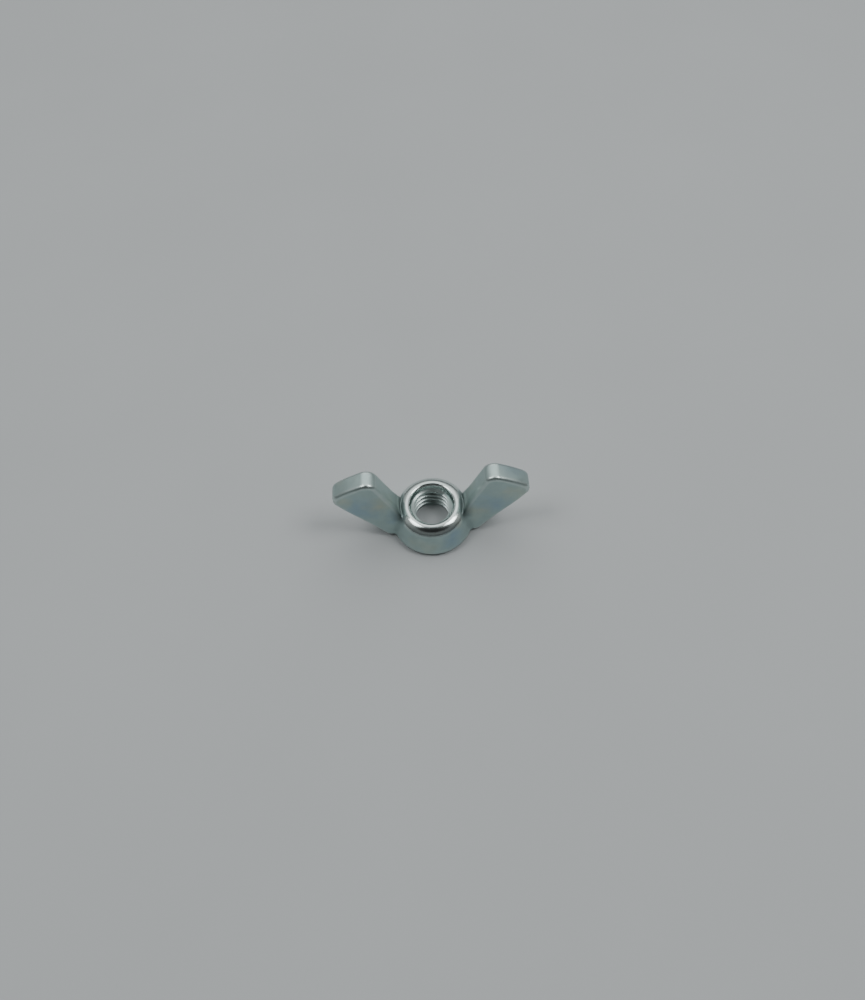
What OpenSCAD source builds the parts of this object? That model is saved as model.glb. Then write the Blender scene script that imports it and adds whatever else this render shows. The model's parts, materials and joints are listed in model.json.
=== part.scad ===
// Wing nut: one cold-forged piece with a tapped through hole.
// The seat lies on z = 0, the thread axis is Z and the wings spread along X.

/* [Thread] */
// Nominal diameter of the metric thread
thread_d = 6; // [4.8:0.1:7.2]
// Pitch of the thread
thread_pitch = 1; // [0.75:0.05:1.25]
// Width of each countersink, outside the thread
countersink_w = 0.55; // [0.4:0.05:0.7]
// Included angle of the countersinks
countersink_angle = 120; // [90:5:120]

/* [Hub] */
// Diameter of the hub at its seat
hub_d = 11.8; // [10.4:0.1:14.2]
// Height of the hub from the seat to the crown
hub_h = 4.9; // [4:0.1:6]
// Height of the upright band round the seat
band_h = 1.1; // [0.9:0.1:1.4]
// Radius of the rounded edge round the seat
seat_edge_r = 0.8; // [0.4:0.05:0.85]
// Radius of the round shoulder between the crown and the flank
shoulder_r = 1.2; // [0.8:0.1:1.4]
// Radius of the lip between the crown and the countersink
lip_r = 0.65; // [0.5:0.05:0.8]
// Height of the upright wall between the lip and the upper countersink
mouth_wall_h = 0.1; // [0.05:0.05:0.3]
// Clear width between the crest of the crown and the wings
crown_clear = 0.9; // [0.7:0.05:1.1]

/* [Wings] */
// Span over both wings
span = 27; // [25:0.5:33]
// Height from the seat to the top of the wings
height = 12.8; // [10.6:0.2:15.4]
// Lean of a wing above the seat plane, in degrees
lean = 58.5; // [56:0.5:62]
// Width of a wing across its tip
wing_w = 7; // [5.8:0.1:8.4]
// Thickness of a wing at its tip
tip_t = 2.8; // [2.3:0.1:3.4]
// Thickness of a wing at its foot
root_t = 4.4; // [3.6:0.1:5.3]
// Radius of the corners of a wing
corner_r = 1.6; // [1.2:0.1:2]
// Radius of the crowned tip of a wing
tip_crown_r = 16.8; // [14:0.2:20.2]
// Radius of the edges round the tip
tip_edge_r = 1.1; // [0.9:0.05:1.15]
// Length of the straight part of the outer edge, below the tip
straight_l = 2.85; // [2.35:0.05:3.45]
// Radius of the bow in the outer edge, below its straight part
bow_r = 28; // [23:0.5:34]
// How far the inner edge slants outward on its way down
slant_w = 2.24; // [1.86:0.02:2.7]
// Length of the parallel part of the faces, below the tip
parallel_l = 6; // [5:0.1:7.2]
// Height of the feet of the wings above the seat
foot_rise = 0.3; // [0.1:0.05:0.5]

/* [Hidden] */
$fn = 96;
thread_minor_r = (thread_d - thread_pitch) / 2;
countersink_r = thread_minor_r + countersink_w;
countersink_depth = countersink_w / tan(countersink_angle / 2);

hub_r = hub_d / 2;
ring_r = countersink_r + lip_r;
shoulder_z = hub_h - shoulder_r;
lip_z = hub_h - lip_r;
mouth_z = lip_z - mouth_wall_h;

// A wing is drawn in its own frame: v runs outward across it and u up along it.
// The inner corner of its tip is the highest point and the outer one is the widest.
lean_up = sin(lean);
lean_out = cos(lean);
tip_rise = height - corner_r + corner_r * lean_out;
tip_spread = span / 2 - corner_r - (wing_w - corner_r) * lean_up;
corner_u = tip_rise * lean_up + tip_spread * lean_out;
inner_v = tip_spread * lean_up - tip_rise * lean_out;
outer_v = inner_v + wing_w;
mid_v = inner_v + wing_w / 2;

// The tip is crowned: its arc runs smoothly into the two corner arcs.
corner_half = wing_w / 2 - corner_r;
tip_crown_u = corner_u - sqrt(pow(tip_crown_r - corner_r, 2) - pow(corner_half, 2));
tip_crown_half = corner_half * tip_crown_r / (tip_crown_r - corner_r);
tip_u = tip_crown_u + tip_crown_r;

// The outer edge bows in below its straight part, and the inner edge slants out to the root.
bow_u = tip_u - straight_l;
root_v = inner_v + slant_w;

// Both faces flare from the parallel tip to the thicker foot, which lies inside the hub.
flare_u = tip_u - parallel_l;
root_u = hub_r * 2 / 3;
flare_r = pow(flare_u - root_u, 2) / (root_t - tip_t);

// Half section of the hub: seat, upright band, conical flank and round shoulder.
module hub_section() {
    square([hub_r - seat_edge_r, band_h]);
    translate([0, seat_edge_r])
        square([hub_r, band_h - seat_edge_r]);
    translate([hub_r - seat_edge_r, seat_edge_r])
        circle(r = seat_edge_r);
    polygon([[0, band_h], [hub_r, band_h], [ring_r + shoulder_r, shoulder_z], [0, shoulder_z]]);
    translate([0, shoulder_z])
        square([ring_r, shoulder_r]);
    translate([ring_r, shoulder_z])
        circle(r = shoulder_r);
}

module hub() {
    rotate_extrude()
        hub_section();
}

// What the mouth of the hole removes: a counterbore whose rim is rounded into the crown.
module mouth_section() {
    translate([0, mouth_z])
        square([countersink_r, height]);
    difference() {
        translate([0, lip_z])
            square([ring_r, height]);
        translate([ring_r, lip_z])
            circle(r = lip_r);
    }
}

// Through hole at the minor diameter of the thread, with its two countersinks.
module thread_hole() {
    translate([0, 0, -hub_h])
        cylinder(h = 3 * hub_h, r = thread_minor_r);
    translate([0, 0, -countersink_depth])
        cylinder(h = 2 * countersink_depth, r1 = countersink_r + countersink_w, r2 = thread_minor_r);
    translate([0, 0, mouth_z - countersink_depth])
        cylinder(h = countersink_depth, r1 = thread_minor_r, r2 = countersink_r);
    rotate_extrude()
        mouth_section();
}

// Outline of a wing, seen from the front, with v across and u upward.
module wing_outline() {
    difference() {
        union() {
            translate([inner_v, 0])
                square([wing_w, corner_u]);
            for (v = [inner_v + corner_r, outer_v - corner_r])
                translate([v, corner_u])
                    circle(r = corner_r);
            intersection() {
                translate([mid_v, tip_crown_u])
                    circle(r = tip_crown_r);
                translate([mid_v - tip_crown_half, 0])
                    square([2 * tip_crown_half, 2 * tip_u]);
            }
        }
        polygon([[inner_v - wing_w, 0], [root_v, 0], [inner_v, corner_u], [inner_v - wing_w, corner_u]]);
        difference() {
            translate([mid_v, -bow_r])
                square([wing_w, bow_u + bow_r]);
            translate([outer_v - bow_r, bow_u])
                circle(r = bow_r);
        }
    }
}

// Outline of a wing, seen edge on: parallel near the tip and flared towards the foot.
module wing_side() {
    translate([-tip_t / 2, 0])
        square([tip_t, tip_u - tip_edge_r]);
    translate([tip_edge_r - tip_t / 2, 0])
        square([tip_t - 2 * tip_edge_r, tip_u]);
    for (side = [-1, 1])
        translate([side * (tip_t / 2 - tip_edge_r), tip_u - tip_edge_r])
            circle(r = tip_edge_r);
    difference() {
        translate([-root_t / 2, 0])
            square([root_t, flare_u]);
        for (side = [-1, 1])
            translate([side * (tip_t / 2 + flare_r), flare_u])
                circle(r = flare_r);
    }
}

module wing() {
    difference() {
        rotate([0, 90 - lean, 0])
            intersection() {
                rotate([90, 0, 0])
                    linear_extrude(height = 2 * root_t, center = true)
                        wing_outline();
                rotate([90, 0, 90])
                    linear_extrude(height = 6 * wing_w, center = true)
                        wing_side();
            }
        translate([-span, -span, foot_rise - span])
            cube([2 * span, 2 * span, span]);
        cylinder(h = 2 * height, r = ring_r + crown_clear);
    }
}

module wing_nut() {
    color("lightslategray")
        difference() {
            union() {
                hub();
                wing();
                mirror([1, 0, 0])
                    wing();
            }
            thread_hole();
        }
}

wing_nut();
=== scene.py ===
"""Wing nut: one forged, zinc-plated piece with a tapped through hole, on a plain pale stage."""

import json
import math

import bpy
import numpy as np
from bpy.props import FloatProperty, FloatVectorProperty, IntProperty, PointerProperty
from mathutils import Matrix, Vector


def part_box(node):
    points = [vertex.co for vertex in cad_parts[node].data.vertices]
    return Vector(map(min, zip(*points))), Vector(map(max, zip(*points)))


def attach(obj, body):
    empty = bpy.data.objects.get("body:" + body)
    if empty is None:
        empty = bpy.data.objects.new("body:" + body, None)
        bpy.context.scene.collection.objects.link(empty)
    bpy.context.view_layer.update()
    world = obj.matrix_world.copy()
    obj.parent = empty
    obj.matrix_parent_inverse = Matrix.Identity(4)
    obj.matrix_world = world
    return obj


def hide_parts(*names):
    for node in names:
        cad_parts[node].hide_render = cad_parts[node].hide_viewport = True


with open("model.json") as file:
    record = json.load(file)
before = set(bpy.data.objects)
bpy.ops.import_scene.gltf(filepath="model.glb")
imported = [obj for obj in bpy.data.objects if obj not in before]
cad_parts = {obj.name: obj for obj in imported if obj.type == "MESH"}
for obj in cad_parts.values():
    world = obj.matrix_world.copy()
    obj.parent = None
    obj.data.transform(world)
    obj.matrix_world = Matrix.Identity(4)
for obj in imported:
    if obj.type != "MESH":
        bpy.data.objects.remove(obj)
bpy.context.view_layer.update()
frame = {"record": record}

bl_info = {
    "name": "Wing nut",
    "version": (1, 0, 0),
    "blender": (4, 5, 0),
    "location": "3D View > Sidebar > Wing nut",
    "description": "Builds a forged wing nut with a tapped hole, and a pale stage for it",
    "category": "Mesh",
}

MM = 0.001
NUT_LOW, NUT_HIGH = (np.array(corner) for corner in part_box("wing_nut"))
THREAD = next(mount for mount in frame["record"]["mounts"] if mount["name"] == "thread")
MINOR_RADIUS = THREAD["dims"]["r_mm"] * MM
COUNTERSINK_HALF_ANGLE = math.radians(60)
THREAD_HALF_ANGLE = math.radians(30)


def size(name, description, default_mm):
    """A length property whose default is given in millimetres."""
    return FloatProperty(
        name=name, description=description, default=default_mm * MM, unit="LENGTH", precision=5
    )


class NutHubSizes(bpy.types.PropertyGroup):
    """Sizes of the hub and its tapped hole."""

    diameter: FloatProperty(
        name="Diameter",
        description="Diameter of the hub at its seat",
        default=float(NUT_HIGH[1] - NUT_LOW[1]),
        unit="LENGTH",
        precision=5,
    )
    height: size("Height", "From the seat to the crown", 4.9)
    band: size("Band", "Height of the upright band round the seat", 1.1)
    seat_edge: size("Seat edge", "Radius of the rounded edge round the seat", 0.8)
    shoulder: size("Shoulder", "Radius of the shoulder between crown and flank", 1.2)
    lip: size("Lip", "Radius of the lip between crown and countersink", 0.65)
    countersink: size("Countersink", "Width of each countersink outside the thread", 0.55)
    mouth_wall: size("Mouth wall", "Upright wall between the lip and the upper countersink", 0.1)
    mouth_fillet: size("Mouth fillet", "Radius between that wall and its countersink", 0.1)
    rim: size("Rim", "Radius of the edge between the seat and its countersink", 0.12)
    bore_edge: size("Bore edge", "Radius of the edges between bore and countersinks", 0.06)
    blend: size("Blend", "How far the band and the flank soften where they meet", 0.1)
    clear: size("Clear", "Clear width between the crest of the crown and the wings", 0.9)
    pitch: size("Pitch", "Pitch of the thread", 1.0)


class NutWingSizes(bpy.types.PropertyGroup):
    """Sizes of the two wings."""

    width: size("Width", "Width of a wing across its tip", 7.0)
    lean: FloatProperty(
        name="Lean",
        description="Lean of a wing above the seat plane",
        default=math.radians(58.5),
        subtype="ANGLE",
    )
    tip: size("Tip thickness", "Thickness of a wing at its tip", 2.8)
    root: size("Foot thickness", "Thickness of a wing at its foot", 4.4)
    corner: size("Corner", "Radius of the corners of a wing", 1.6)
    crown: size("Crown", "Radius of the crowned tip of a wing", 16.8)
    straight: size("Straight", "Straight part of the outer edge, below the tip", 2.85)
    bow: size("Bow", "Radius of the bow in the outer edge, below its straight part", 28.0)
    slant: size("Slant", "How far the inner edge slants outward on its way down", 2.24)
    parallel: size("Parallel", "Parallel part of the faces, below the tip", 6.0)
    edge: size("Edge", "Radius of the edges of a wing", 0.55)
    foot: size("Foot", "Height of the feet of the wings above the seat", 0.3)
    fillet: size("Fillet", "Radius of the fillet between wing and hub", 0.35)


class NutSizes(bpy.types.PropertyGroup):
    """Everything that sets the shape of the nut."""

    hub: PointerProperty(type=NutHubSizes)
    wing: PointerProperty(type=NutWingSizes)
    grid_step: size("Grid step", "Spacing of the grid that the skin is drawn on", 0.14)
    thread_steps: IntProperty(
        name="Thread steps", description="Sections of the thread groove in one turn", default=96
    )


# Fields: each gives, for whole arrays of points, a distance that is negative inside the metal.


def ring_radius(hub):
    """Radius of the crest of the crown, the ring round the mouth of the hole."""
    return MINOR_RADIUS + hub.countersink + hub.lip


def fillet_union(a, b, radius):
    """Joins two fields, with a fillet of that radius in the corner between them."""
    corner = np.hypot(np.maximum(radius - a, 0), np.maximum(radius - b, 0))
    return np.maximum(radius, np.minimum(a, b)) - corner


def round_overlap(a, b, radius):
    """What two fields share, with the edge between them rounded to that radius."""
    edge = np.hypot(np.maximum(radius + a, 0), np.maximum(radius + b, 0))
    return np.minimum(-radius, np.maximum(a, b)) + edge


def soft_overlap(a, b, reach):
    """What two fields share, with a slight softening where they are within reach of each other.
    It suits faces that meet at a shallow angle."""
    near = np.maximum(reach - np.abs(a - b), 0)
    return np.maximum(a, b) + near**2 / (4 * reach)


def hub_body_field(hub, r, z):
    """Hub without its seat and hole: an upright band, a drafted flank and a flat crown, each a
    straight line in the half section, with a round shoulder between flank and crown."""
    radius = hub.diameter / 2
    across, up = radius - ring_radius(hub), hub.height - hub.shoulder - hub.band
    draft = math.acos(hub.shoulder / math.hypot(across, up)) - math.atan2(up, across)
    flank = (r - radius) * math.cos(draft) + (z - hub.band) * math.sin(draft)
    band = r - radius
    side = soft_overlap(flank, band, hub.blend)
    return round_overlap(side, z - hub.height, hub.shoulder)


def mouth_fields(hub, r, z):
    """Metal left round the hole: outside the bore, and outside a 120 degree cone at each end.
    The upper cone stops at an upright wall under the lip."""
    across, along = math.cos(COUNTERSINK_HALF_ANGLE), math.sin(COUNTERSINK_HALF_ANGLE)
    depth = hub.countersink / math.tan(COUNTERSINK_HALF_ANGLE)
    top = hub.height - hub.lip - hub.mouth_wall - depth
    wall = MINOR_RADIUS + hub.countersink - r
    upper = (z - top) * along - (r - MINOR_RADIUS) * across
    lower = (depth - z) * along - (r - MINOR_RADIUS) * across
    return MINOR_RADIUS - r, fillet_union(upper, wall, hub.mouth_fillet), lower


def wing_frame(sizes):
    """Places of a wing in its own frame, where v runs outward across it and u up along it: the
    lean's sine and cosine, the centres of the corners, the inner edge and the crown's centre."""
    wing = sizes.wing
    span, height = float(NUT_HIGH[0] - NUT_LOW[0]), float(NUT_HIGH[2] - NUT_LOW[2])
    up, out = math.sin(wing.lean), math.cos(wing.lean)
    rise = height - wing.corner + wing.corner * out
    spread = span / 2 - wing.corner - (wing.width - wing.corner) * up
    corner_u = rise * up + spread * out
    inner_v = spread * up - rise * out
    half = wing.width / 2 - wing.corner
    crown_u = corner_u - math.sqrt((wing.crown - wing.corner) ** 2 - half**2)
    return up, out, corner_u, inner_v, crown_u


def wing_outline(wing, across, u, inner, outer, corner_u, crown_u):
    """Outline of a wing: its two sides below, and above them the crowned tip, which runs into
    a round corner at either side along the line from the crown's centre through the corner's."""
    half = wing.width / 2 - wing.corner
    tip = np.hypot(across, u - crown_u) - wing.crown
    corner = np.hypot(np.abs(across) - half, u - corner_u) - wing.corner
    beside = np.abs(across) * (corner_u - crown_u) > half * (u - crown_u)
    top = np.where(beside, corner, tip)
    return np.where(u > corner_u, top, np.maximum(np.maximum(inner, outer), tip))


def wing_field(sizes, x, y, z):
    """Both wings, mirrored in x: an outline of a crowned tip, a bowed outer edge and a slanted
    inner edge, as thick as its flare says, clear of the crown, with every edge rounded."""
    wing = sizes.wing
    up, out, corner_u, inner_v, crown_u = wing_frame(sizes)
    tip_u = crown_u + wing.crown
    v = np.abs(x) * up - z * out
    u = np.abs(x) * out + z * up
    bow_u = tip_u - wing.straight
    outer_v = inner_v + wing.width
    bowed = np.hypot(v - outer_v + wing.bow, u - bow_u) - wing.bow
    outer = np.where(u > bow_u, v - outer_v, bowed)
    slant = math.atan2(wing.slant, corner_u)
    inner = (corner_u - u) * math.sin(slant) - (v - inner_v) * math.cos(slant)
    outline = wing_outline(wing, v - inner_v - wing.width / 2, u, inner, outer, corner_u, crown_u)
    flare_u = tip_u - wing.parallel
    foot_u = sizes.hub.diameter / 3
    flare = (flare_u - foot_u) ** 2 / (wing.root - wing.tip)
    below = np.clip(flare_u - u, 0, flare_u - foot_u)
    face = np.abs(y) - wing.tip / 2 - below**2 / (2 * flare)
    blade = round_overlap(outline, face, wing.edge)
    keep_off = ring_radius(sizes.hub) + sizes.hub.clear - np.hypot(x, y)
    blade = round_overlap(blade, keep_off, wing.edge / 2)
    return round_overlap(blade, wing.foot - z, wing.edge)


def nut_field(sizes, points):
    """The forging: hub and wings joined by a fillet, above the seat, less the hole and its
    countersinks."""
    x, y, z = points.T
    r = np.hypot(x, y)
    hub = sizes.hub
    body = fillet_union(hub_body_field(hub, r, z), wing_field(sizes, x, y, z), sizes.wing.fillet)
    body = round_overlap(body, -z, hub.seat_edge)
    bore, upper, lower = mouth_fields(hub, r, z)
    body = round_overlap(body, upper, hub.lip)
    body = round_overlap(body, lower, hub.rim)
    return round_overlap(body, bore, hub.bore_edge)


def field_slope(field, points, step=2e-6):
    """Gradient of a field, from its difference over a short step either way along each axis."""
    shifts = np.eye(3) * step
    return np.stack(
        [(field(points + shift) - field(points - shift)) / (2 * step) for shift in shifts], axis=1
    )


def cell_corners(values):
    """The eight corner values of every cell of a grid, as one array per corner."""
    ends = [slice(None, -1), slice(1, None)]
    return {
        (i, j, k): values[ends[i], ends[j], ends[k]]
        for i in (0, 1)
        for j in (0, 1)
        for k in (0, 1)
    }


def skin_of(field, low, high, step):
    """The zero surface of a field as quads: one vertex in each grid cell that the surface
    crosses, at the mean of its crossings with the cell's edges, and one quad round each grid
    edge whose ends lie on either side. Returns points and faces, with the faces outward."""
    axes = [np.arange(a, b + step, step) for a, b in zip(low, high)]
    grid = np.stack(np.meshgrid(*axes, indexing="ij"), axis=-1)
    values = field(grid.reshape(-1, 3)).reshape(grid.shape[:3])
    corners = cell_corners(values)
    cells = np.array([n - 1 for n in values.shape])
    crossings = np.zeros((*cells, 3))
    count = np.zeros(cells)
    for start in corners:
        for axis in range(3):
            if start[axis]:
                continue
            end = tuple(1 if n == axis else start[n] for n in range(3))
            a, b = corners[start], corners[end]
            crossed = (a < 0) != (b < 0)
            with np.errstate(divide="ignore", invalid="ignore"):
                along = np.where(crossed, a / (a - b), 0)
            for n in range(3):
                crossings[..., n] += np.where(crossed, along if n == axis else start[n], 0)
            count += crossed
    used = count > 0
    number = np.full(used.shape, -1)
    number[used] = np.arange(used.sum())
    origin = np.array([axis[0] for axis in axes])
    points = origin + (np.argwhere(used) + crossings[used] / count[used][:, None]) * step
    faces = []
    steps = np.eye(3, dtype=int)
    for axis in range(3):
        one, two = (axis + 1) % 3, (axis + 2) % 3
        inner = [slice(1, -1)] * 3
        inner[axis] = slice(None, -1)
        next_one = list(inner)
        next_one[axis] = slice(1, None)
        a, b = values[tuple(inner)] < 0, values[tuple(next_one)] < 0
        at = np.argwhere(a != b) + np.array([0 if n == axis else 1 for n in range(3)])
        leaving = a[a != b]
        loop = [at - steps[one] - steps[two], at - steps[two], at, at - steps[one]]
        quad = np.stack([number[tuple(cell.T)] for cell in loop], axis=1)
        faces.append(np.where(leaving[:, None], quad, quad[:, ::-1]))
    return points, np.concatenate(faces)


def settle_on(field, points, faces, rounds=4):
    """Evens out a skin's vertices and puts them exactly on the field's zero surface: each
    vertex moves part of the way to the mean of its neighbours, along the surface only, and
    then down the field's slope by the field's value."""
    pairs = np.concatenate([faces[:, [n, (n + 1) % 4]] for n in range(4)])
    for turn in range(rounds + 2):
        slope = field_slope(field, points)
        slope /= np.linalg.norm(slope, axis=1)[:, None]
        if turn < rounds:
            mean = np.stack(
                [
                    np.bincount(pairs[:, 0], points[pairs[:, 1], n], len(points))
                    + np.bincount(pairs[:, 1], points[pairs[:, 0], n], len(points))
                    for n in range(3)
                ],
                axis=1,
            )
            ends = np.bincount(pairs.ravel(), minlength=len(points))[:, None]
            move = mean / ends - points
            move -= (move * slope).sum(1)[:, None] * slope
            points = points + 0.5 * move
        for _ in range(2):
            points = points - field(points)[:, None] * slope
    return points


def thread_groove(sizes):
    """What the tap removes: a V with a narrow flat root, carried along a right-hand helix from
    below the seat to above the crown. Section n stands at angle 2 pi n / steps and height
    pitch n / steps - pitch. Each end is closed by a flat face."""
    hub = sizes.hub
    pitch = hub.pitch
    major = MINOR_RADIUS + pitch / 2
    slope = math.tan(THREAD_HALF_ANGLE)
    flat = pitch / 16
    inside = 0.1 * pitch
    half = flat + (major - MINOR_RADIUS + inside) * slope
    section = np.array(
        [
            [MINOR_RADIUS - inside, -half],
            [major - flat, -2 * flat * slope - flat * 0.7],
            [major, -flat * 0.5],
            [major, flat * 0.5],
            [major - flat, 2 * flat * slope + flat * 0.7],
            [MINOR_RADIUS - inside, half],
        ]
    )
    turns = int((hub.height + 2 * pitch) / pitch) + 1
    n = np.arange(turns * sizes.thread_steps + 1)
    angle = 2 * np.pi * n / sizes.thread_steps
    rise = pitch * n / sizes.thread_steps - pitch
    r = np.broadcast_to(section[:, 0], (len(n), len(section)))
    points = np.stack(
        [
            r * np.cos(angle)[:, None],
            r * np.sin(angle)[:, None],
            section[:, 1] + rise[:, None],
        ],
        axis=-1,
    ).reshape(-1, 3)
    k = len(section)
    row = np.arange(len(n) - 1)[:, None] * k
    side = np.arange(k)
    quads = np.stack(
        [row + side, row + k + side, row + k + (side + 1) % k, row + (side + 1) % k], axis=-1
    )
    last = (len(n) - 1) * k
    caps = [tuple(range(k)), tuple(last + s for s in reversed(range(k)))]
    return points, [tuple(q) for q in quads.reshape(-1, 4).tolist()] + caps


def mesh_object(name, points, faces):
    """A mesh object at the origin with those points and faces."""
    mesh = bpy.data.meshes.new(name)
    mesh.from_pydata(np.asarray(points).tolist(), [], [tuple(f) for f in faces])
    mesh.validate()
    obj = bpy.data.objects.new(name, mesh)
    bpy.context.collection.objects.link(obj)
    return obj


def cut_away(obj, tool):
    """Removes the tool's solid from obj, and then the tool."""
    cut = obj.modifiers.new("tap", "BOOLEAN")
    cut.operation = "DIFFERENCE"
    cut.solver = "EXACT"
    cut.object = tool
    bpy.context.view_layer.update()
    settled = obj.evaluated_get(bpy.context.evaluated_depsgraph_get())
    result = bpy.data.meshes.new_from_object(settled)
    obj.modifiers.clear()
    obj.data = result
    bpy.data.objects.remove(tool)


def build_nut(sizes):
    """The nut's skin, drawn from its field, with the thread cut out of its bore."""

    def field(points):
        return nut_field(sizes, points)

    margin = 2.5 * sizes.grid_step
    points, faces = skin_of(field, NUT_LOW - margin, NUT_HIGH + margin, sizes.grid_step)
    points = settle_on(field, points, faces)
    nut = mesh_object("forged_nut", points, faces.tolist())
    groove_points, groove_faces = thread_groove(sizes)
    cut_away(nut, mesh_object("tap_groove", groove_points, groove_faces))
    nut.data.shade_smooth()
    nut.data.set_sharp_from_angle(angle=math.radians(38))
    return nut


# Finish


def ramp(value, start, end):
    """0 as far as start, 1 from end on, and straight between them. End may be below start."""
    return np.clip((value - start) / (end - start), 0, 1)


def bend_of(field, points, reach):
    """How quickly a field's slope turns at each point: the sum of its values at six points that
    far away along the axes, less six times its own, over the distance squared. It is positive on
    outward edges, where it nears one over their radius, and negative in inward corners."""
    around = sum(field(points + shift) + field(points - shift) for shift in np.eye(3) * reach)
    return (around - 6 * field(points)) / reach**2


def polish_of(sizes, points):
    """How much each point is burnished, from 0 to 1: the crown that the punch pressed, the
    cut faces of the hole, and the outward edges that rub in the barrel."""
    hub = sizes.hub
    r, z = np.hypot(points[:, 0], points[:, 1]), points[:, 2]
    ring, thread = ring_radius(hub), MINOR_RADIUS + hub.pitch / 2
    recess_and_painted_shade = recess_and_painted_shade_of(sizes, points)
    bend = bend_of(lambda at: nut_field(sizes, at), points, 0.12 * MM)
    edge = 0.6 * ramp(bend * MM, 0.375, 2.875) * (1 - recess_and_painted_shade)
    on_hub = ramp(np.abs(hub_body_field(hub, r, z)), 0.16 * MM, 0.06 * MM)
    on_lip = ramp(r, ring, ring - 0.1 * MM)
    crown = ramp(z, hub.height - 1.25 * MM, hub.height - 0.5 * MM) * np.maximum(on_hub, on_lip)
    crown *= ramp(recess_and_painted_shade, 1 / 3, 0)
    bore = 0.5 * ramp(r, thread + 0.3 * MM, thread + 0.1 * MM)
    return np.maximum(np.maximum(edge, crown), bore)


def recess_and_painted_shade_of(sizes, points):
    """How deep each point lies in an inward corner, from 0 to 1, felt over a near and a far
    reach, or how far down it is in a pocket between the crown and a wing. Below the crown the
    corners count for a third. The plate's shader darkens the colour by it, as painted shade in
    those corners and pockets, and the polish is weaker there."""

    def field(at):
        return nut_field(sizes, at)

    hub = sizes.hub
    x, y, z = points.T
    r = np.hypot(x, y)
    ring = ring_radius(hub)
    near = -bend_of(field, points, 0.45 * MM) * 0.6 * MM
    far = -bend_of(field, points, 0.9 * MM) * 0.9 * MM
    level = 0.35 + 0.65 * ramp(z, hub.height - 1.7 * MM, hub.height - 0.7 * MM)
    corner = ramp(np.maximum(near, far), 0.1, 1.1) * level
    # Painted shade in the pockets between the crown and the wings.
    beside = ramp(wing_field(sizes, x, y, z), 0.9 * MM, 0)
    above = ramp(z, hub.height - 1.9 * MM, hub.height - 0.9 * MM)
    below = ramp(z, hub.height + 3.1 * MM, hub.height + 0.1 * MM)
    close = ramp(r, ring + hub.clear + 1.6 * MM, ring + hub.clear + 0.4 * MM)
    pocket = beside * above * below * close
    return np.maximum(corner, pocket) * ramp(r, ring + 0.2 * MM, ring + 0.5 * MM)


def mark_finish(obj, sizes):
    """Stores each vertex's polish and recess in mesh attributes, which the plate's shader
    reads; the recess sets where shade is painted into the colour."""
    mesh = obj.data
    points = np.zeros(len(mesh.vertices) * 3)
    mesh.vertices.foreach_get("co", points)
    points = points.reshape(-1, 3)
    for name, measure in (("polish", polish_of), ("recess_and_painted_shade", recess_and_painted_shade_of)):
        stored = mesh.attributes.new(name, "FLOAT", "POINT")
        stored.data.foreach_set("value", measure(sizes, points))


class PlateFinish(bpy.types.PropertyGroup):
    """Colours and gloss of the bright zinc plate."""

    zinc: FloatVectorProperty(
        name="Zinc",
        description="Colour of the plate away from the patches",
        default=(0.45, 0.565, 0.55),
        subtype="COLOR",
        min=0,
        max=1,
    )
    blue: FloatVectorProperty(
        name="Blue",
        description="Colour where the passivate is thickest",
        default=(0.35, 0.48, 0.56),
        subtype="COLOR",
        min=0,
        max=1,
    )
    straw: FloatVectorProperty(
        name="Straw",
        description="Colour where the passivate has yellowed",
        default=(0.53, 0.565, 0.46),
        subtype="COLOR",
        min=0,
        max=1,
    )
    rubbed: FloatVectorProperty(
        name="Rubbed",
        description="Colour that the plate nears where it is burnished",
        default=(0.72, 0.78, 0.76),
        subtype="COLOR",
        min=0,
        max=1,
    )
    forged: FloatProperty(
        name="Forged roughness",
        description="Roughness of the forged faces",
        default=0.46,
        min=0,
        max=1,
    )
    burnished: FloatProperty(
        name="Burnished roughness",
        description="Roughness of the crown and the rubbed edges",
        default=0.17,
        min=0,
        max=1,
    )


class StageSizes(bpy.types.PropertyGroup):
    """Floor, lights and camera."""

    floor: FloatVectorProperty(
        name="Floor",
        description="Colour of the floor",
        default=(0.45, 0.471, 0.478),
        subtype="COLOR",
        min=0,
        max=1,
    )
    horizon: FloatProperty(
        name="Horizon", description="Light of the tent at the horizon", default=0.07, min=0
    )
    tent: FloatProperty(
        name="Tent", description="Light of the tent from a third of the way up", default=0.52, min=0
    )
    roof: FloatProperty(
        name="Roof", description="Extra light of the tent overhead", default=0.27, min=0
    )
    gap_width: FloatProperty(
        name="Gap width",
        description="Sine of half the width of the tent's opening",
        default=0.6,
        min=0.01,
    )
    gap_height: FloatProperty(
        name="Gap height",
        description="Sine of half the height of the tent's opening",
        default=0.36,
        min=0.01,
    )
    elevation: FloatProperty(
        name="Elevation",
        description="Height of the camera above the horizon",
        default=math.radians(60.4),
        subtype="ANGLE",
    )
    turn: FloatProperty(
        name="Turn",
        description="How far the camera stands round from the front",
        default=0.0,
        subtype="ANGLE",
    )
    roll: FloatProperty(
        name="Roll", description="Roll of the camera", default=math.radians(-3.8), subtype="ANGLE"
    )
    lens: FloatProperty(
        name="Lens", description="Focal length of the camera, in millimetres", default=27.36, min=1
    )
    distance: size("Distance", "From the seat to the camera along its view", 112.2)
    aim_across: size("Aim across", "How far right of the view's centre the seat lies", 0.05)
    aim_up: size("Aim up", "How far above the view's centre the seat lies", -2.94)


# Materials


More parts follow.
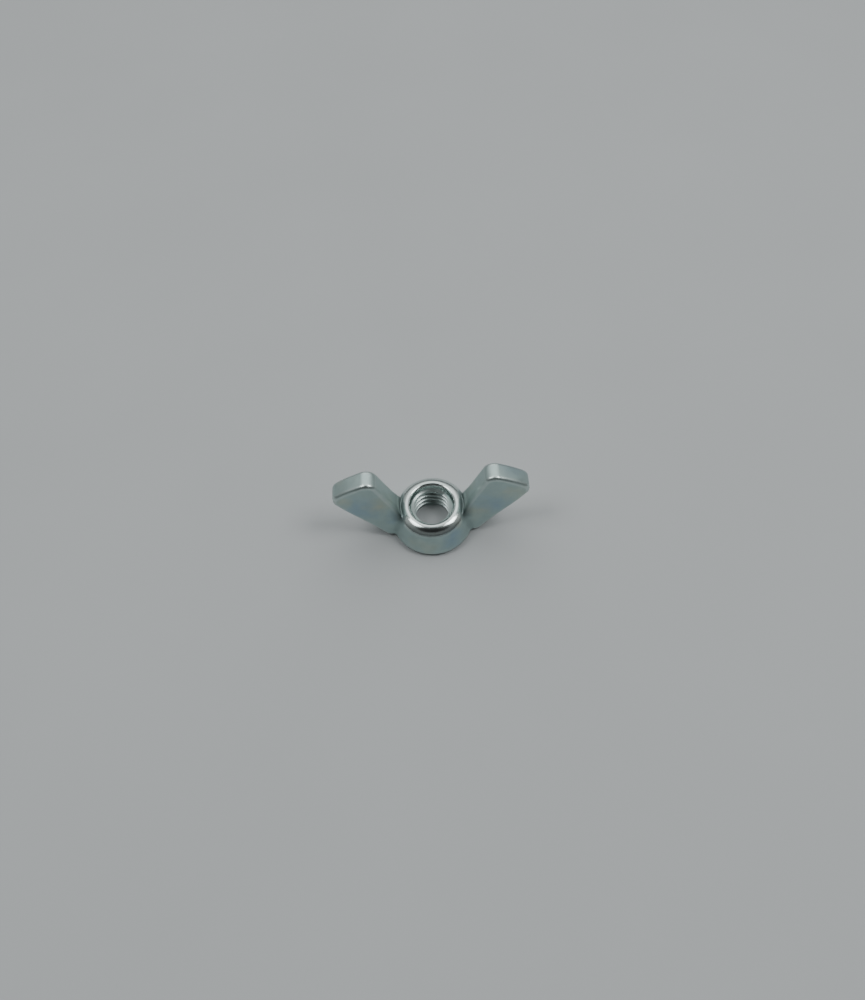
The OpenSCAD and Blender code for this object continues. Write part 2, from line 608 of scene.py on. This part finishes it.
class NodeTree:
    """Short names for adding shader nodes to a material and joining them."""

    def __init__(self, material):
        material.use_nodes = True
        self.tree = material.node_tree
        self.surface = self.tree.nodes["Principled BSDF"]

    def add(self, kind, inputs=None, **settings):
        made = self.tree.nodes.new(kind)
        for name, value in settings.items():
            setattr(made, name, value)
        for name, value in (inputs or {}).items():
            if isinstance(value, bpy.types.NodeSocket):
                self.tree.links.new(value, made.inputs[name])
            else:
                made.inputs[name].default_value = value
        return made

    def noise(self, place, feature, detail=3.0, seed=0.0):
        """Noise whose features are about that long, in metres."""
        inputs = {"Vector": place, "W": seed, "Scale": 1 / feature, "Detail": detail}
        return self.add("ShaderNodeTexNoise", inputs, noise_dimensions="4D").outputs["Fac"]

    def wander(self, place, feature, reach):
        """The place shifted at random by up to half of reach along each axis."""
        inputs = {"Vector": place, "Scale": 1 / feature, "Detail": 2.0}
        cloud = self.add("ShaderNodeTexNoise", inputs).outputs["Color"]
        middle = {0: cloud, 1: (0.5, 0.5, 0.5)}
        shift = self.add("ShaderNodeVectorMath", middle, operation="SUBTRACT").outputs[0]
        shift = self.add("ShaderNodeVectorMath", {0: shift, 3: reach}, operation="SCALE").outputs[0]
        return self.add("ShaderNodeVectorMath", {0: place, 1: shift}, operation="ADD").outputs[0]

    def between(self, value, low, high, to_low=0.0, to_high=1.0):
        """Maps low..high to to_low..to_high, held at both ends."""
        inputs = {"Value": value, 1: low, 2: high, 3: to_low, 4: to_high}
        return self.add("ShaderNodeMapRange", inputs).outputs["Result"]

    def mix(self, share, a, b):
        """Colour a where share is 0, and b where it is 1."""
        inputs = {0: share, 6: a, 7: b}
        return self.add("ShaderNodeMix", inputs, data_type="RGBA").outputs[2]

    def patches(self, place, patches):
        """Soft round patches: each falls off from its strength at its centre to 0 at its radius,
        and the strongest one shows."""
        shown = 0.0
        for centre, radius, strength in patches:
            inputs = {0: place, 1: tuple(part * MM for part in centre)}
            off = self.add("ShaderNodeVectorMath", inputs, operation="DISTANCE").outputs["Value"]
            patch = self.between(off, 0.15 * radius * MM, radius * MM, strength, 0.0)
            shown = self.add("ShaderNodeMath", {0: shown, 1: patch}, operation="MAXIMUM").outputs[0]
        return shown

    def link(self, socket, name):
        self.tree.links.new(socket, self.surface.inputs[name])


# Where the passivate has coloured the plate: centre and radius of each patch in mm, and strength.
BLUE_PATCHES = (
    ((-9.6, -1.8, 7.2), 3.6, 0.95),
    ((8.4, -1.8, 6.4), 3.4, 0.9),
    ((3.0, -4.6, 2.6), 2.6, 0.9),
    ((-5.2, -1.6, 4.4), 1.6, 0.6),
    ((11.0, 1.6, 10.5), 3.0, 0.7),
    ((-8.0, 1.8, 5.6), 3.4, 0.8),
    ((-2.4, 5.0, 2.6), 2.4, 0.7),
)
STRAW_PATCHES = (
    ((-6.8, -1.8, 8.0), 2.6, 0.8),
    ((-12.2, -1.4, 9.0), 1.8, 0.6),
    ((6.4, -1.8, 5.0), 2.2, 0.6),
    ((11.2, -1.6, 9.2), 2.2, 0.7),
    ((-1.2, -5.2, 1.6), 2.4, 0.6),
    ((3.2, -2.8, 4.6), 1.4, 0.8),
    ((-3.2, -2.6, 4.6), 1.4, 0.7),
    ((7.4, 1.8, 8.0), 2.6, 0.7),
    ((-11.4, 1.6, 10.6), 2.2, 0.6),
)


# Relief of the forged skin, coarsest first: the length of its features and its depth in mm, and
# the detail and the seed of its noise. They are the forging ripple, the dints and the grain.
RELIEF = (
    (1.1, 0.028, 2.0, 6.0),
    (0.3, 0.006, 3.0, 11.0),
    (0.09, 0.0012, 2.0, 2.0),
)


def zinc_plate(finish):
    """Bright zinc over a forged skin: patches of blue and straw passivate a few millimetres wide,
    painted shade in inward corners and in the pockets between crown and wings, forging ripple,
    dints, a fine satin grain, and a gloss that rises with the polish attribute."""
    material = bpy.data.materials.new("zinc_plated_steel")
    tree = NodeTree(material)
    place = tree.add("ShaderNodeTexCoord").outputs["Object"]
    polish = tree.add("ShaderNodeAttribute", attribute_name="polish").outputs["Fac"]
    spot = tree.wander(place, 3 * MM, 5 * MM)
    blue = tree.patches(spot, BLUE_PATCHES)
    straw = tree.patches(spot, STRAW_PATCHES)
    colour = tree.mix(blue, (*finish.zinc, 1), (*finish.blue, 1))
    colour = tree.mix(straw, colour, (*finish.straw, 1))
    cloud = tree.between(tree.noise(place, 0.9 * MM, 3.0, seed=3.0), 0.3, 0.7, 0.0, 0.28)
    colour = tree.mix(cloud, colour, (*(0.75 * part for part in finish.zinc), 1))
    bare = tree.between(polish, 0.0, 1.0, 0.0, 0.75)
    colour = tree.mix(bare, colour, (*finish.rubbed, 1))
    # Painted shade: the colour darkens towards a dark zinc where the recess measure is high, in
    # inward corners and in the pockets between crown and wings.
    recess_and_painted_shade = tree.add("ShaderNodeAttribute", attribute_name="recess_and_painted_shade").outputs["Fac"]
    painted_shade_share = tree.between(recess_and_painted_shade, 0.0, 1.0, 0.0, 0.9)
    colour = tree.mix(painted_shade_share, colour, (*(0.3 * part for part in finish.zinc), 1))
    tree.link(colour, "Base Color")
    cloud = tree.noise(place, 1.6 * MM, 4.0, seed=9.0)
    rough = tree.between(cloud, 0.3, 0.7, finish.forged - 0.07, finish.forged + 0.07)
    gloss = tree.add("ShaderNodeMix", {0: polish, 2: rough, 3: finish.burnished})
    tree.link(gloss.outputs[0], "Roughness")
    relief = {}
    for feature, depth, detail, seed in RELIEF:
        height = tree.noise(place, feature * MM, detail, seed)
        inputs = {"Height": height, "Distance": depth * MM, "Strength": 1.0, **relief}
        relief = {"Normal": tree.add("ShaderNodeBump", inputs).outputs[0]}
    tree.link(relief["Normal"], "Normal")
    tree.surface.inputs["Metallic"].default_value = 1.0
    return material


def floor_paint(colour):
    """Matt pale board with a faint mottle."""
    material = bpy.data.materials.new("pale_board")
    tree = NodeTree(material)
    place = tree.add("ShaderNodeTexCoord").outputs["Object"]
    mottle = tree.between(tree.noise(place, 30 * MM, 4.0), 0.3, 0.7, 0.0, 1.0)
    darker = tuple(0.97 * part for part in colour)
    tree.link(tree.mix(mottle, (*darker, 1), (*colour, 1)), "Base Color")
    tree.surface.inputs["Roughness"].default_value = 0.75
    return material


def studio_world(stage):
    """Soft tent of light round the nut: dim at the horizon, brighter from a third of the way up,
    dimmer in front than behind, and brightest overhead, with a dark oval where the tent is open
    for the camera."""
    world = bpy.data.worlds.new("studio")
    world.use_nodes = True
    nodes, links = world.node_tree.nodes, world.node_tree.links
    away = nodes.new("ShaderNodeTexCoord").outputs["Generated"]

    def math_node(operation, a, b):
        made = nodes.new("ShaderNodeMath")
        made.operation = operation
        for socket, value in zip(made.inputs, (a, b)):
            if isinstance(value, bpy.types.NodeSocket):
                links.new(value, socket)
            else:
                socket.default_value = value
        return made.outputs[0]

    def step(value, low, high, to_low, to_high):
        made = nodes.new("ShaderNodeMapRange")
        made.interpolation_type = "SMOOTHSTEP"
        links.new(value, made.inputs["Value"])
        for number, setting in enumerate((low, high, to_low, to_high), start=1):
            made.inputs[number].default_value = setting
        return made.outputs[0]

    def toward(direction):
        made = nodes.new("ShaderNodeVectorMath")
        made.operation = "DOT_PRODUCT"
        links.new(away, made.inputs[0])
        made.inputs[1].default_value = direction
        return made.outputs["Value"]

    height = toward((0, 0, 1))
    behind = step(toward((0, 1, 0)), -0.6, 0.3, 0.3, 1)
    wall = math_node("MULTIPLY", step(height, -0.02, 0.45, stage.horizon, stage.tent), behind)
    roof = step(toward((0, 0.3, 0.954)), 0.7, 0.97, 0, stage.roof)
    across = toward((1 / stage.gap_width, 0, 0))
    tilt = Vector((0, math.sin(stage.elevation), math.cos(stage.elevation)))
    above = toward(tilt / stage.gap_height)
    reach = math_node(
        "ADD", math_node("MULTIPLY", across, across), math_node("MULTIPLY", above, above)
    )
    front = step(toward((0, -1, 0)), -0.05, 0.2, 0, 1)
    inside = math_node("MULTIPLY", step(reach, 0.6, 1.4, 0.9, 0), front)
    gap = math_node("SUBTRACT", 1.0, inside)
    light = math_node("MULTIPLY", math_node("ADD", wall, roof), gap)
    background = nodes["Background"]
    background.inputs["Color"].default_value = (0.97, 1.0, 1.0, 1)
    links.new(light, background.inputs["Strength"])
    return world


# Soft boxes: name, direction from the nut, width and depth in metres, and power in watts.
SOFT_BOXES = (
    ("box_left", (-0.5, -0.02, 0.86), 0.16, 0.2, 0.55),
    ("box_right", (0.52, -0.06, 0.85), 0.16, 0.2, 0.75),
    ("box_behind", (0.03, 0.62, 0.78), 0.6, 0.5, 0.7),
)
BOX_DISTANCE = 0.5
BOX_AIM = Vector((0, 0, 0.004))


def add_soft_box(name, direction, width, depth, power):
    """A soft box that stands in that direction from the nut and faces it."""
    light = bpy.data.lights.new(name, "AREA")
    light.shape = "RECTANGLE"
    light.size, light.size_y = width, depth
    light.energy = power
    obj = bpy.data.objects.new(name, light)
    bpy.context.collection.objects.link(obj)
    away = Vector(direction).normalized()
    obj.location = BOX_AIM + away * BOX_DISTANCE
    obj.rotation_euler = away.to_track_quat("Z", "Y").to_euler()


def add_camera(stage):
    """Camera that looks down at the front of the nut."""
    camera = bpy.data.cameras.new("camera")
    camera.lens = stage.lens
    camera.sensor_width = 36
    camera.clip_start = 5 * MM
    obj = bpy.data.objects.new("camera", camera)
    bpy.context.collection.objects.link(obj)
    back = Vector((0, -math.cos(stage.elevation), math.sin(stage.elevation)))
    right = Vector((1, 0, 0))
    up = back.cross(right)
    rolled = Matrix((right, up, back)).transposed() @ Matrix.Rotation(stage.roll, 3, "Z")
    rolled = Matrix.Rotation(stage.turn, 3, "Z") @ rolled
    offset = Vector((-stage.aim_across, -stage.aim_up, stage.distance))
    obj.matrix_world = Matrix.Translation(rolled @ offset) @ rolled.to_4x4()
    bpy.context.scene.camera = obj


# Operators


class MESH_OT_wing_nut(bpy.types.Operator):
    """Build the forged nut, tap it, plate it and put it in the CAD solid's place"""

    bl_idname = "mesh.wing_nut_build"
    bl_label = "Build the nut"

    def execute(self, context):
        scene = context.scene
        nut = build_nut(scene.nut_sizes)
        mark_finish(nut, scene.nut_sizes)
        nut.data.materials.clear()
        nut.data.materials.append(zinc_plate(scene.nut_finish))
        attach(nut, "root")
        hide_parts("wing_nut")
        return {"FINISHED"}


class SCENE_OT_wing_nut_stage(bpy.types.Operator):
    """Lay the pale floor, hang the soft boxes and set up the camera"""

    bl_idname = "scene.wing_nut_stage"
    bl_label = "Set the stage"

    def execute(self, context):
        stage = context.scene.nut_stage
        half = 1.5
        corners = [(-half, -half, 0), (half, -half, 0), (half, half, 0), (-half, half, 0)]
        floor = mesh_object("floor", corners, [(0, 1, 2, 3)])
        floor.data.materials.append(floor_paint(stage.floor))
        context.scene.world = studio_world(stage)
        for box in SOFT_BOXES:
            add_soft_box(*box)
        add_camera(stage)
        return {"FINISHED"}


class VIEW3D_PT_wing_nut(bpy.types.Panel):
    """Sizes, finish and stage of the wing nut"""

    bl_idname = "VIEW3D_PT_wing_nut"
    bl_label = "Wing nut"
    bl_space_type = "VIEW_3D"
    bl_region_type = "UI"
    bl_category = "Wing nut"

    def draw(self, context):
        scene = context.scene
        groups = (scene.nut_sizes.hub, scene.nut_sizes.wing, scene.nut_finish, scene.nut_stage)
        for group in groups:
            box = self.layout.box()
            for name in group.__annotations__:
                box.prop(group, name)
        self.layout.operator(MESH_OT_wing_nut.bl_idname)
        self.layout.operator(SCENE_OT_wing_nut_stage.bl_idname)


CLASSES = (
    NutHubSizes,
    NutWingSizes,
    NutSizes,
    PlateFinish,
    StageSizes,
    MESH_OT_wing_nut,
    SCENE_OT_wing_nut_stage,
    VIEW3D_PT_wing_nut,
)


def register():
    for cls in CLASSES:
        bpy.utils.register_class(cls)
    bpy.types.Scene.nut_sizes = PointerProperty(type=NutSizes)
    bpy.types.Scene.nut_finish = PointerProperty(type=PlateFinish)
    bpy.types.Scene.nut_stage = PointerProperty(type=StageSizes)


def unregister():
    del bpy.types.Scene.nut_stage
    del bpy.types.Scene.nut_finish
    del bpy.types.Scene.nut_sizes
    for cls in reversed(CLASSES):
        bpy.utils.unregister_class(cls)


def main():
    register()
    bpy.ops.scene.wing_nut_stage()
    bpy.ops.mesh.wing_nut_build()


if __name__ == "__main__":
    main()
